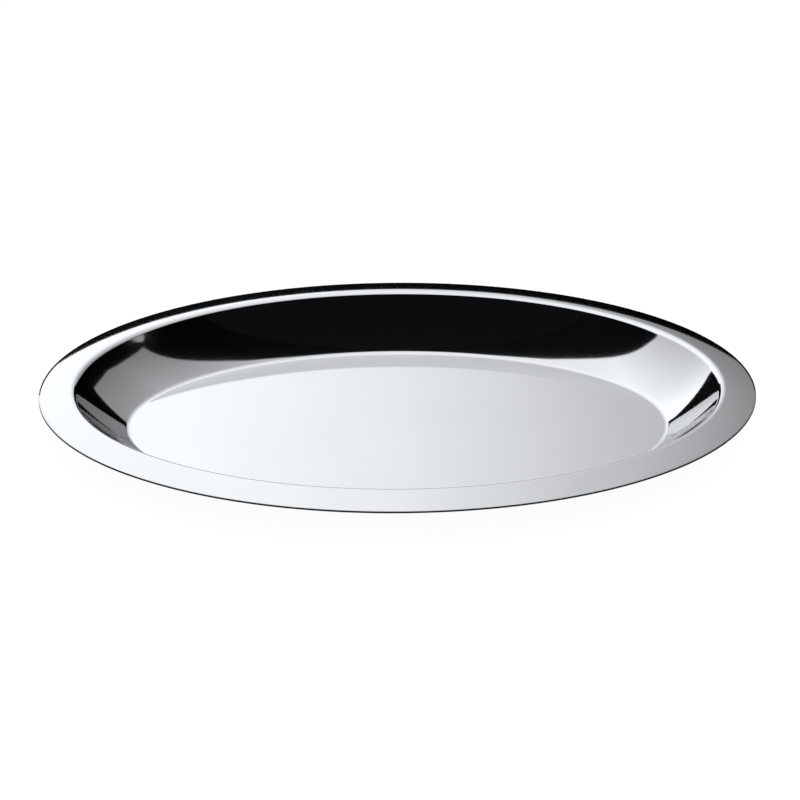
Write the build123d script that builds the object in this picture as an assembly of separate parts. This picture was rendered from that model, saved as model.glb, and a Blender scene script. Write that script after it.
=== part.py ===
from build123d import *
import math
import os

# Oval serving tray: one stainless sheet, pressed into a shallow dish with a wide rim.
#
# Frame: origin at the centre of the underside, +X along the length, +Y across, +Z up.
# Units: millimetres and degrees.
#
# Every level of the tray is a true ellipse. A level that lies a distance s inside the
# outer edge has both semi-axes shorter by s, so one (s, z) profile describes the whole
# pressing: rim, bend, wall, root and floor.

# Overall sizes
LENGTH = 500.0         # along X, edge to edge
WIDTH = 340.0          # along Y, edge to edge
SHEET = 1.5            # thickness of the steel

# Pressed profile, on the upper skin, from the floor outwards
ROOT_RADIUS = 7.0      # hollow radius between floor and wall
WALL_FOOT = 33.8       # slope of the wall where it leaves the root
WALL_BOW = 212.4       # slow hollow curve of the wall
WALL_TOP = 45.5        # slope of the wall where it meets the bend
BEND_RADIUS = 6.5      # rounded bend between wall and rim
RIM_INNER_FALL = 9.5   # slope of the rim at the bend, falling outwards
RIM_CROWN = 250.0      # slow crown of the rim
RIM_OUTER_FALL = 14.3  # slope of the rim at the cut edge
EDGE_ROUND = 0.3       # deburred corners of the upright cut edge


def turn(start, radius, slope_from, slope_to, skin, steps):
    """Walk outwards along one arc of the profile; slopes rise outwards.

    A positive radius is hollow from above, a negative one is crowned. The
    points are moved by skin (0 or the sheet) square to the upper surface.
    """
    s, z = start
    first = math.radians(slope_from)
    points = []
    for k in range(steps + 1):
        here = math.radians(slope_from + (slope_to - slope_from) * k / steps)
        across = s - radius * (math.sin(here) - math.sin(first))
        up = z + radius * (math.cos(first) - math.cos(here))
        points.append((across - skin * math.sin(here), up - skin * math.cos(here)))
    return points, (across, up)


def run_of_profile():
    """Horizontal width of everything outside the flat floor."""
    foot, top = math.radians(WALL_FOOT), math.radians(WALL_TOP)
    inner, outer = math.radians(RIM_INNER_FALL), math.radians(RIM_OUTER_FALL)
    root = ROOT_RADIUS * math.sin(foot)
    wall = WALL_BOW * (math.sin(top) - math.sin(foot))
    bend = BEND_RADIUS * (math.sin(top) + math.sin(inner))
    rim = RIM_CROWN * (math.sin(outer) - math.sin(inner))
    return root + wall + bend + rim


def outer_fall(skin):
    """Slope at which a skin meets the upright cut, which both skins share."""
    reach = RIM_CROWN * math.sin(math.radians(RIM_OUTER_FALL))
    return math.degrees(math.asin(reach / (RIM_CROWN - skin)))


def skin_points(skin):
    """Profile of one skin from the floor to the cut edge; skin is its depth."""
    stages = (
        (ROOT_RADIUS, 0.0, WALL_FOOT, 6),
        (WALL_BOW, WALL_FOOT, WALL_TOP, 8),
        (-BEND_RADIUS, WALL_TOP, -RIM_INNER_FALL, 12),
        (-RIM_CROWN, -RIM_INNER_FALL, -outer_fall(skin), 4),
    )
    here = (run_of_profile(), SHEET)
    chains = []
    for radius, slope_from, slope_to, steps in stages:
        points, here = turn(here, radius, slope_from, slope_to, skin, steps)
        chains.append(points)
    return chains


def edge_corner(corner, lift, turn_from, turn_to):
    """Round at one corner of the cut; turns are those of its normal from upright."""
    s, z = corner[0] + EDGE_ROUND, corner[1] + lift
    points = []
    for k in range(4):
        t = math.radians(turn_from + (turn_to - turn_from) * k / 3)
        points.append((s - EDGE_ROUND * math.sin(t), z + EDGE_ROUND * math.cos(t)))
    return points


def edge_points(upper_end, lower_end):
    """Rounded corner, upright cut face and rounded corner, from the upper skin down."""
    upper_fall, lower_fall = outer_fall(0.0), outer_fall(SHEET)
    sink = EDGE_ROUND * math.tan(math.radians(45 - upper_fall / 2))
    lift = EDGE_ROUND * math.tan(math.radians(45 + lower_fall / 2))
    top = edge_corner(upper_end, -sink, upper_fall, 90)
    bottom = edge_corner(lower_end, lift, 90, 180 + lower_fall)
    return top, [top[-1], bottom[0]], bottom


def level(point):
    """Closed ellipse at one point of the profile."""
    s, z = point
    ring = Ellipse(LENGTH / 2 - s, WIDTH / 2 - s).wire()
    return Pos(0, 0, z) * ring


def band(points):
    """Smooth surface through the ellipses of a run of profile points."""
    return Shell.make_loft([level(p) for p in points], ruled=len(points) == 2).faces()


def make_tray():
    upper = skin_points(0.0)
    lower = skin_points(SHEET)
    corner_top, cut_face, corner_bottom = edge_points(upper[-1][-1], lower[-1][-1])
    upper[-1][-1] = corner_top[0]
    lower[-1][-1] = corner_bottom[-1]
    faces = [Face(level(upper[0][0])), Face(level(lower[0][0]))]
    for points in upper + [corner_top, cut_face, corner_bottom] + lower:
        faces += band(points)
    return Solid(Shell(faces))


os.makedirs("parts", exist_ok=True)
tray_body = make_tray()
tray_body.label = "tray_body"
export_step(tray_body, "parts/tray_body.step")
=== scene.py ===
import math

import bpy
from mathutils import Matrix, Vector
from mathutils.geometry import tessellate_polygon


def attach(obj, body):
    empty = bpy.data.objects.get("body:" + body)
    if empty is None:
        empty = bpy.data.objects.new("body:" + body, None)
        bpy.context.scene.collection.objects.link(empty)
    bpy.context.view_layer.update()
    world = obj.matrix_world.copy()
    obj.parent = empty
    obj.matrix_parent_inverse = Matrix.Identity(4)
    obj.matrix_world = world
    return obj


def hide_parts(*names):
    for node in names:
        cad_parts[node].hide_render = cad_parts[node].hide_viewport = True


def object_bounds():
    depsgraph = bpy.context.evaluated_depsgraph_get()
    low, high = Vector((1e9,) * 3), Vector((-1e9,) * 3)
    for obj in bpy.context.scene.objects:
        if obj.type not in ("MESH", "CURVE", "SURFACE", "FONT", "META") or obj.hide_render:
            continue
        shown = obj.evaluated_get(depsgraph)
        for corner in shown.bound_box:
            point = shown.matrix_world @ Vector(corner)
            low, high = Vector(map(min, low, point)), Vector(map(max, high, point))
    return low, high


# Looks of an oval serving tray: one polished steel pressing under a large soft light.
#
# Metres, in the frame of the CAD part: origin at the centre of the underside, +X along
# the length, +Z up. Every level of the tray is an ellipse. A level that lies s inside the
# cut edge has both semi-axes shorter by s, so one (s, z) profile makes both skins.

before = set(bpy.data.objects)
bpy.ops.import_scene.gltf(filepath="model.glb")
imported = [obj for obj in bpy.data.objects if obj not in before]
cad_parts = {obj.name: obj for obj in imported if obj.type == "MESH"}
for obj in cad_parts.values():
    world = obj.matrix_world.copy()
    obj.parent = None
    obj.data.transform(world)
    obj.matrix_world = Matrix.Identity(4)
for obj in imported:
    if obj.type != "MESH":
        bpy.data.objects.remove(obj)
cad_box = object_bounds()
HALF_LENGTH = min(cad_box[1][0], -cad_box[0][0])
HALF_WIDTH = min(cad_box[1][1], -cad_box[0][1])

# Pressed profile, on the upper skin, from the floor outwards (lengths in metres)
SHEET = 0.0015
ROOT_RADIUS = 0.0070                     # hollow radius between floor and wall
WALL_FOOT = math.radians(33.8)
WALL_BOW = 0.2124                        # slow hollow curve of the wall
WALL_TOP = math.radians(45.5)
BEND_RADIUS = 0.0065                     # rounded bend between wall and rim
RIM_INNER_FALL = math.radians(9.5)
RIM_CROWN = 0.250                        # slow crown of the rim
RIM_OUTER_FALL = math.radians(14.3)
EDGE_ROUND = 0.0003                      # deburred corners of the upright cut edge

# Mesh
SEGMENTS = 480                           # points round each ellipse
ROOT_STEPS = 10
WALL_STEPS = 16
BEND_STEPS = 40
RIM_STEPS = 10
CORNER_STEPS = 5
FLOOR_RINGS = 8                          # rings that fill the flat floor
UPPER_SKIN, UNDERSIDE, CUT_EDGE = 0, 1, 2    # material slots

# Camera
VIEW_HEIGHT = math.radians(28.35)
VIEW_ROLL = math.radians(-0.26)
VIEW_DISTANCE = 3.5
VIEW_LENS = 225.0
SENSOR_WIDTH = 36.0
VIEW_AIM = (0.0018, 0.0178)              # centre of the picture, right of and above the dish

# Studio; directions are (azimuth from +Y towards +X, elevation) in degrees
FAR = 12.0                               # distance of the lit panels
NEAR = 1.3                               # distance of the graded scrim
GLOW = (0.966, 0.986, 1.008)             # slightly cool daylight
BACKDROP_STRENGTH = 1.545
SIDE_CARD_STRENGTH = 2.6
SOFTBOX_STRENGTH = 1.1
CHART_POLE = 1.6                         # keeps the flat chart of a panel one-sided

# Overhead edge of the backdrop, as x / z and y / z: straight in the middle, further back at both ends
OVERHEAD_LEVEL = -0.035
OVERHEAD_LEFT = (0.3, 0.92, 0.122)       # x / z where it starts and stops going back, and how far
OVERHEAD_RIGHT = (0.28, 1.0, 0.15)
OVERHEAD_LEFT_END = (-3.1, 0.1)

# Slanted right edge of the backdrop, from the top
RIGHT_EDGE = ((78, 43), (70, 39), (58, 31), (40, 18))

# Lower edge: it sags behind the dish, peaks on each side and runs on as a nearly level shelf
SAG_LOW = 6.8                            # elevation straight behind the dish
SAG_CURVE = 0.03                         # degrees of rise for each square degree of azimuth
SAG_REACH = 15.5                         # azimuth up to which it sags
PEAK = (21.3, 21.3)
SHELF_RIGHT = ((38, 17.3), (28, 17.3))
SHELF_LEFT = ((-27, 15), (-86, 16.5))

SIDE_CARD = ((81, 39.5), (86, 44.2), (94, 44.2), (98, 41), (90, 36), (82, 36))

# Light that the scrim lets through, brightest left of the middle: (x in metres, share)
SCRIM_SHARE = ((-0.95, 0.42), (-0.6, 0.87), (-0.2, 0.85), (0.0, 0.74), (0.3, 0.45), (0.95, 0.12))
# How much the right side differs from the left: (x in metres, weight)
SCRIM_RIGHT = ((-0.2, 0.0), (0.1, 0.25), (0.4, 1.0))
SCRIM_LEVEL = 0.85                       # height at which the share holds as it is


# ---------------------------------------------------------------- profile

def arc(start, radius, slope_from, slope_to, skin, steps):
    """Walk outwards along one arc; a negative radius is crowned. skin is the depth."""
    s, z = start
    points = []
    for k in range(steps + 1):
        here = slope_from + (slope_to - slope_from) * k / steps
        across = s - radius * (math.sin(here) - math.sin(slope_from))
        up = z + radius * (math.cos(slope_from) - math.cos(here))
        points.append((across - skin * math.sin(here), up - skin * math.cos(here)))
    return points, (across, up)


def profile_run():
    """Horizontal width of everything outside the flat floor."""
    root = ROOT_RADIUS * math.sin(WALL_FOOT)
    wall = WALL_BOW * (math.sin(WALL_TOP) - math.sin(WALL_FOOT))
    bend = BEND_RADIUS * (math.sin(WALL_TOP) + math.sin(RIM_INNER_FALL))
    rim = RIM_CROWN * (math.sin(RIM_OUTER_FALL) - math.sin(RIM_INNER_FALL))
    return root + wall + bend + rim


def outer_fall(skin):
    """Slope at which a skin meets the upright cut, which both skins share."""
    return math.asin(RIM_CROWN * math.sin(RIM_OUTER_FALL) / (RIM_CROWN - skin))


def skin_profile(skin):
    """Profile of one skin from the floor to the cut edge, as one chain of points."""
    stages = (
        (ROOT_RADIUS, 0.0, WALL_FOOT, ROOT_STEPS),
        (WALL_BOW, WALL_FOOT, WALL_TOP, WALL_STEPS),
        (-BEND_RADIUS, WALL_TOP, -RIM_INNER_FALL, BEND_STEPS),
        (-RIM_CROWN, -RIM_INNER_FALL, -outer_fall(skin), RIM_STEPS),
    )
    here = (profile_run(), SHEET)
    chain = []
    for radius, slope_from, slope_to, steps in stages:
        points, here = arc(here, radius, slope_from, slope_to, skin, steps)
        chain += points if not chain else points[1:]
    return chain


def corner_profile(corner, lift, turn_from, turn_to):
    """Round at one corner of the cut; turns are those of its normal from upright."""
    s, z = corner[0] + EDGE_ROUND, corner[1] + lift
    points = []
    for k in range(CORNER_STEPS + 1):
        t = turn_from + (turn_to - turn_from) * k / CORNER_STEPS
        points.append((s - EDGE_ROUND * math.sin(t), z + EDGE_ROUND * math.cos(t)))
    return points


def edge_profile(upper_end, lower_end):
    """Rounded corner, upright cut face and rounded corner, from the upper skin down."""
    upper_fall, lower_fall = outer_fall(0.0), outer_fall(SHEET)
    sink = EDGE_ROUND * math.tan(math.pi / 4 - upper_fall / 2)
    lift = EDGE_ROUND * math.tan(math.pi / 4 + lower_fall / 2)
    top = corner_profile(upper_end, -sink, upper_fall, math.pi / 2)
    bottom = corner_profile(lower_end, lift, math.pi / 2, math.pi + lower_fall)
    return top + bottom


# ---------------------------------------------------------------- tray mesh

def add_ring(verts, s, z, size=1.0):
    """Add the ellipse at one profile point, scaled by size, and return its first index."""
    start = len(verts)
    for k in range(SEGMENTS):
        t = math.tau * k / SEGMENTS
        verts.append(((HALF_LENGTH - s) * size * math.cos(t),
                      (HALF_WIDTH - s) * size * math.sin(t), z))
    return start


def bridge(faces, slots, first, second, slot):
    """Join two rings with a band of four-sided faces."""
    for k in range(SEGMENTS):
        n = (k + 1) % SEGMENTS
        faces.append((first + k, second + k, second + n, first + n))
        slots.append(slot)


def fill_floor(verts, faces, slots, rim_ring, point, slot):
    """Close one skin with rings that shrink to the centre of the floor."""
    s, z = point
    ring = rim_ring
    for r in range(1, FLOOR_RINGS):
        inner = add_ring(verts, s, z, 1 - r / FLOOR_RINGS)
        pair = (inner, ring) if slot == UPPER_SKIN else (ring, inner)
        bridge(faces, slots, *pair, slot)
        ring = inner
    centre = len(verts)
    verts.append((0.0, 0.0, z))
    for k in range(SEGMENTS):
        n = (k + 1) % SEGMENTS
        pair = (ring + k, ring + n) if slot == UPPER_SKIN else (ring + n, ring + k)
        faces.append((centre, *pair))
        slots.append(slot)


def tray_mesh():
    """Both skins and the cut edge as one closed mesh."""
    upper = skin_profile(0.0)
    lower = skin_profile(SHEET)
    edge = edge_profile(upper[-1], lower[-1])
    chain = [(point, UPPER_SKIN) for point in upper[:-1]]
    chain += [(point, CUT_EDGE) for point in edge]
    chain += [(point, UNDERSIDE) for point in lower[-2::-1]]
    verts, faces, slots = [], [], []
    rings = [add_ring(verts, s, z) for (s, z), _ in chain]
    for row in range(len(chain) - 1):
        slot = min(chain[row][1], chain[row + 1][1])
        bridge(faces, slots, rings[row], rings[row + 1], slot)
    fill_floor(verts, faces, slots, rings[0], upper[0], UPPER_SKIN)
    fill_floor(verts, faces, slots, rings[-1], lower[0], UNDERSIDE)
    mesh = bpy.data.meshes.new("tray")
    mesh.from_pydata(verts, [], faces)
    mesh.validate()
    mesh.polygons.foreach_set("material_index", slots)
    mesh.polygons.foreach_set("use_smooth", [True] * len(slots))
    return mesh


# ---------------------------------------------------------------- materials

def new_material(name):
    mat = bpy.data.materials.new(name)
    mat.use_nodes = True
    tree = mat.node_tree
    return mat, tree, tree.nodes["Principled BSDF"]


def set_inputs(node, **values):
    """Set sockets by name; underscores in the keywords stand for spaces."""
    for name, value in values.items():
        node.inputs[name.replace("_", " ")].default_value = value


def noise(tree, stretch, scale, detail):
    """Noise in object space; stretch lists the scale along each axis."""
    place = tree.nodes.new("ShaderNodeTexCoord")
    mapping = tree.nodes.new("ShaderNodeMapping")
    set_inputs(mapping, Scale=stretch)
    texture = tree.nodes.new("ShaderNodeTexNoise")
    set_inputs(texture, Scale=scale, Detail=detail)
    tree.links.new(place.outputs["Object"], mapping.inputs["Vector"])
    tree.links.new(mapping.outputs["Vector"], texture.inputs["Vector"])
    return texture.outputs["Fac"]


def rescale(tree, value, span, result):
    """Map a value linearly from one span to another, clamped at both ends."""
    reach = tree.nodes.new("ShaderNodeMapRange")
    set_inputs(reach, From_Min=span[0], From_Max=span[1], To_Min=result[0], To_Max=result[1])
    tree.links.new(value, reach.inputs["Value"])
    return reach.outputs[0]


def blend(tree, value, dark, light):
    mix = tree.nodes.new("ShaderNodeMix")
    mix.data_type = "RGBA"
    set_inputs(mix, A=(*dark, 1), B=(*light, 1))
    tree.links.new(value, mix.inputs["Factor"])
    return mix.outputs["Result"]


def bump(tree, value, distance, under=None):
    node = tree.nodes.new("ShaderNodeBump")
    set_inputs(node, Strength=1.0, Distance=distance)
    tree.links.new(value, node.inputs["Height"])
    if under is not None:
        tree.links.new(under, node.inputs["Normal"])
    return node.outputs["Normal"]


def steel(name, dark, light, smooth, rough, grain, grain_depth, wave_depth):
    """Bare steel: cloudy tone, buffing grain and a very slight waviness of the pressing."""
    noise_span = (0.3, 0.7)
    mat, tree, shader = new_material(name)
    set_inputs(shader, Metallic=1.0, Specular_Tint=(0.86, 0.86, 0.86, 1))
    cloud = noise(tree, (1, 1, 1), 14, 4)
    lines = noise(tree, grain, 1, 3)
    wave = noise(tree, (1, 1, 1), 38, 1)
    tone = blend(tree, rescale(tree, cloud, noise_span, (0.0, 1.0)), dark, light)
    polish = rescale(tree, lines, noise_span, (smooth, rough))
    relief = bump(tree, lines, grain_depth, bump(tree, wave, wave_depth))
    tree.links.new(tone, shader.inputs["Base Color"])
    tree.links.new(polish, shader.inputs["Roughness"])
    tree.links.new(relief, shader.inputs["Normal"])
    return mat


# ---------------------------------------------------------------- studio helpers

def aim_at(az, el):
    """Unit vector of a direction."""
    az, el = math.radians(az), math.radians(el)
    return Vector((math.sin(az) * math.cos(el), math.cos(az) * math.cos(el), math.sin(el)))


def add_object(name, mesh):
    thing = bpy.data.objects.new(name, mesh)
    bpy.context.scene.collection.objects.link(thing)
    return thing


def panel_mesh(name, outline):
    """Panel whose outline is given as directions from the dish."""
    chart = []
    for d in outline:
        away = CHART_POLE + d.y + d.z
        chart.append(Vector((d.x / away, (d.y - d.z) / away, 0)))
    mesh = bpy.data.meshes.new(name)
    mesh.from_pydata([d * FAR for d in outline], [], tessellate_polygon([chart]))
    return mesh


def overhead_edge():
    """Overhead edge of the backdrop, from the left to the right."""
    steps = 24
    points = [OVERHEAD_LEFT_END]
    for k in range(steps + 1):
        x = 2 * k / steps - 1
        turn_in, turn_out, rise = OVERHEAD_LEFT if x < 0 else OVERHEAD_RIGHT
        part = min(1, max(0, (abs(x) - turn_in) / (turn_out - turn_in)))
        points.append((x, OVERHEAD_LEVEL + rise * part * part * (3 - 2 * part)))
    return [Vector((x, y, 1)).normalized() for x, y in points]


def low_edge():
    """Lower edge of the backdrop, from the right to the left."""
    steps = 12
    sag = []
    for k in range(steps + 1):
        az = SAG_REACH * (1 - 2 * k / steps)
        sag.append((az, SAG_LOW + SAG_CURVE * az * az))
    outline = [*SHELF_RIGHT, PEAK, *sag, (-PEAK[0], PEAK[1]), *SHELF_LEFT]
    return [aim_at(*d) for d in outline]


def light_only(thing):
    """Keep a light or scrim out of everything but mirror reflections."""
    thing.visible_camera = False
    thing.visible_diffuse = False
    thing.visible_shadow = False


def bare_material(name, shader_type):
    """Material with one shader node straight on its output."""
    mat = bpy.data.materials.new(name)
    mat.use_nodes = True
    tree = mat.node_tree
    tree.nodes.clear()
    out = tree.nodes.new("ShaderNodeOutputMaterial")
    shader = tree.nodes.new(shader_type)
    tree.links.new(shader.outputs[0], out.inputs[0])
    return mat, tree, shader


def emitter(name, mesh, strength):
    mat, _, glow = bare_material(name, "ShaderNodeEmission")
    set_inputs(glow, Color=(*GLOW, 1), Strength=strength)
    mesh.materials.append(mat)
    light_only(add_object(name, mesh))


def softbox_mesh():
    """Band round the camera side, below everything that the walls mirror to the camera."""
    first_az, turn, panes = 66, 228, 20
    verts = []
    for k in range(panes + 1):
        az = first_az + turn * k / panes
        from_end = min(az - first_az, first_az + turn - az)
        top = min(36, 20 + 0.45 * from_end)
        verts += [aim_at(az, 3) * FAR, aim_at(az, top) * FAR]
    faces = [(2 * k, 2 * k + 2, 2 * k + 3, 2 * k + 1) for k in range(panes)]
    mesh = bpy.data.meshes.new("softbox")
    mesh.from_pydata(verts, [], faces)
    return mesh


def scrim_mesh():
    """Part of a dome over the back and the sides."""
    turns, rises = 64, 32
    first_az, turn = -112, 224
    first_el, rise = -6, 95
    verts, faces = [], []
    for i in range(turns + 1):
        for j in range(rises + 1):
            verts.append(aim_at(first_az + turn * i / turns, first_el + rise * j / rises) * NEAR)
    row = rises + 1
    for i in range(turns):
        for j in range(rises):
            here = i * row + j
            faces.append((here, here + row, here + row + 1, here + 1))
    mesh = bpy.data.meshes.new("scrim")
    mesh.from_pydata(verts, [], faces)
    return mesh


def maths(tree, kind, a, b):
    node = tree.nodes.new("ShaderNodeMath")
    node.operation = kind
    for socket, value in zip(node.inputs, (a, b)):
        if isinstance(value, (int, float)):
            socket.default_value = value
        else:
            tree.links.new(value, socket)
    return node.outputs[0]


def graph(tree, value, stops):
    """Grey that follows a value, linearly between stops."""
    first, last = stops[0][0], stops[-1][0]
    ramp = tree.nodes.new("ShaderNodeValToRGB")
    tree.links.new(rescale(tree, value, (first, last), (0.0, 1.0)), ramp.inputs[0])
    elements = ramp.color_ramp.elements
    elements[0].position, elements[1].position = 0.0, 1.0
    for x, _ in stops[1:-1]:
        elements.new((x - first) / (last - first))
    for element, (_, share) in zip(elements, stops):
        element.color = (share, share, share, 1)
    return ramp.outputs["Color"]


def scrim_material():
    """Clear film that darkens to the right, and there also downwards and to the front."""
    mat, tree, clear = bare_material("scrim", "ShaderNodeBsdfTransparent")
    place = tree.nodes.new("ShaderNodeNewGeometry")
    split = tree.nodes.new("ShaderNodeSeparateXYZ")
    tree.links.new(place.outputs["Position"], split.inputs[0])
    x, y, z = split.outputs
    share = graph(tree, x, SCRIM_SHARE)
    right = graph(tree, x, SCRIM_RIGHT)
    climb = maths(tree, "SUBTRACT", maths(tree, "MULTIPLY", right, 0.95), 0.15)
    rise = maths(tree, "MULTIPLY", maths(tree, "SUBTRACT", z, SCRIM_LEVEL), climb)
    height_keep = maths(tree, "ADD", rise, 1.0)
    near_front = rescale(tree, y, (0.45, 0.15), (0.0, 1.0))
    shade = maths(tree, "ADD", maths(tree, "MULTIPLY", right, 0.22), 0.09)
    front_keep = maths(tree, "SUBTRACT", 1.0, maths(tree, "MULTIPLY", near_front, shade))
    keep = maths(tree, "MULTIPLY", share, maths(tree, "MULTIPLY", height_keep, front_keep))
    tree.links.new(keep, clear.inputs["Color"])
    return mat


# ---------------------------------------------------------------- tray

tray = add_object("tray", tray_mesh())
tray.data.materials.append(steel("polished_face", (0.72, 0.726, 0.732), (0.74, 0.745, 0.75),
                                 0.04, 0.06, (150, 1500, 700), 1.5e-7, 4e-6))
tray.data.materials.append(steel("satin_underside", (0.54, 0.545, 0.55), (0.64, 0.645, 0.65),
                                 0.26, 0.36, (120, 1900, 700), 4e-6, 8e-6))
# Cut edge: rougher, duller sheared steel, partly real; its colour is also darkened far below bare steel
# as painted shade, standing in for the dark reflection along the rim
tray.data.materials.append(steel("cut_edge_with_painted_shade", (0.24, 0.24, 0.245), (0.36, 0.36, 0.365),
                                 0.22, 0.34, (260, 260, 2400), 4e-6, 3e-6))
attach(tray, "root")
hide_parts("tray_body")


# ---------------------------------------------------------------- floor and lights

FLOOR_REACH = 9.0
floor_mesh = bpy.data.meshes.new("floor")
floor_corners = [(x * FLOOR_REACH, y * FLOOR_REACH, 0) for x, y in ((-1, -1), (1, -1), (1, 1), (-1, 1))]
floor_mesh.from_pydata(floor_corners, [], [(0, 1, 2, 3)])
floor_mat, _, floor_shader = new_material("floor")
set_inputs(floor_shader, Base_Color=(0.07, 0.07, 0.07, 1), Roughness=1.0, Specular_IOR_Level=0.0,
           Emission_Color=(1, 1, 1, 1), Emission_Strength=0.96)
floor_mesh.materials.append(floor_mat)
floor = add_object("floor", floor_mesh)
floor.visible_glossy = False

backdrop = overhead_edge() + [aim_at(*d) for d in RIGHT_EDGE] + low_edge()
emitter("backdrop", panel_mesh("backdrop", backdrop), BACKDROP_STRENGTH)
emitter("side_card", panel_mesh("side_card", [aim_at(*d) for d in SIDE_CARD]), SIDE_CARD_STRENGTH)
emitter("softbox", softbox_mesh(), SOFTBOX_STRENGTH)

scrim = add_object("scrim", scrim_mesh())
scrim.data.materials.append(scrim_material())
light_only(scrim)


# ---------------------------------------------------------------- world

def surroundings():
    """White room for the camera and for soft light, near black in mirror reflections."""
    world = bpy.data.worlds.new("studio")
    world.use_nodes = True
    tree = world.node_tree
    tree.nodes.clear()
    out = tree.nodes.new("ShaderNodeOutputWorld")
    mix = tree.nodes.new("ShaderNodeMixShader")
    path = tree.nodes.new("ShaderNodeLightPath")
    white = tree.nodes.new("ShaderNodeBackground")
    dark = tree.nodes.new("ShaderNodeBackground")
    set_inputs(white, Color=(1, 1, 1, 1), Strength=1.15)
    set_inputs(dark, Color=(0.0046, 0.0053, 0.0058, 1))
    tree.links.new(path.outputs["Is Glossy Ray"], mix.inputs[0])
    tree.links.new(white.outputs[0], mix.inputs[1])
    tree.links.new(dark.outputs[0], mix.inputs[2])
    tree.links.new(mix.outputs[0], out.inputs[0])
    return world


bpy.context.scene.world = surroundings()


# ---------------------------------------------------------------- camera

camera_data = bpy.data.cameras.new("camera")
camera_data.lens = VIEW_LENS
camera_data.sensor_width = SENSOR_WIDTH
camera = add_object("camera", camera_data)
dish = Vector((0, 0, SHEET))
forward = Vector((0, math.cos(VIEW_HEIGHT), -math.sin(VIEW_HEIGHT)))
upward = Vector((0, math.sin(VIEW_HEIGHT), math.cos(VIEW_HEIGHT)))
station = dish - forward * VIEW_DISTANCE
aim = dish + Vector((1, 0, 0)) * VIEW_AIM[0] + upward * VIEW_AIM[1]
look = (aim - station).to_track_quat("-Z", "Y").to_matrix().to_4x4()
camera.matrix_world = Matrix.Translation(station) @ look @ Matrix.Rotation(VIEW_ROLL, 4, "Z")
bpy.context.scene.camera = camera
bpy.context.scene.view_settings.view_transform = "Standard"
